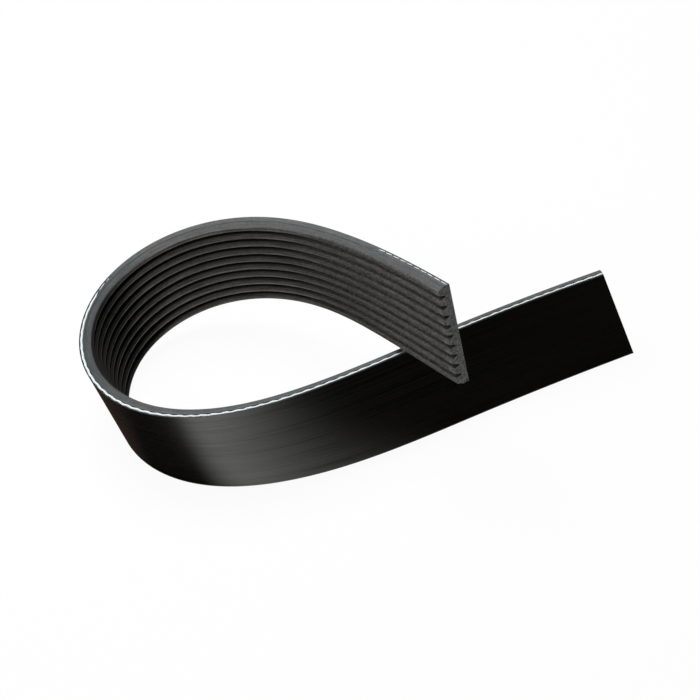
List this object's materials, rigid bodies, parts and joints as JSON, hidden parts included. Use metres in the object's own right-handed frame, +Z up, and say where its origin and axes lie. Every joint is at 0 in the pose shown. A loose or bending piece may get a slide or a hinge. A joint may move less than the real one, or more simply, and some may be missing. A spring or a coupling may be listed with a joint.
{
  "type": "serpentine belt",
  "caption": "Cut length of multi-rib drive belt standing on its edge in a teardrop loop, smooth back outside and V ribs inside.",
  "frame": {"origin": "middle of the bounding box at the level that the belt stands on", "axes": "+Z up, +X along the loop from its round end towards the two cut ends"},
  "size_m": [0.1848, 0.079, 0.0847],
  "materials": {
    "rubber": "smooth satin back, mottled fibrous cut edges and rough ribs",
    "cord": "twisted polyester cord, bare at the cut edge"
  },
  "bodies": {
    "root": {"belt_body": "rubber", "edge_cord_upper": "cord", "edge_cord_lower": "cord"}
  },
  "joints": []
}
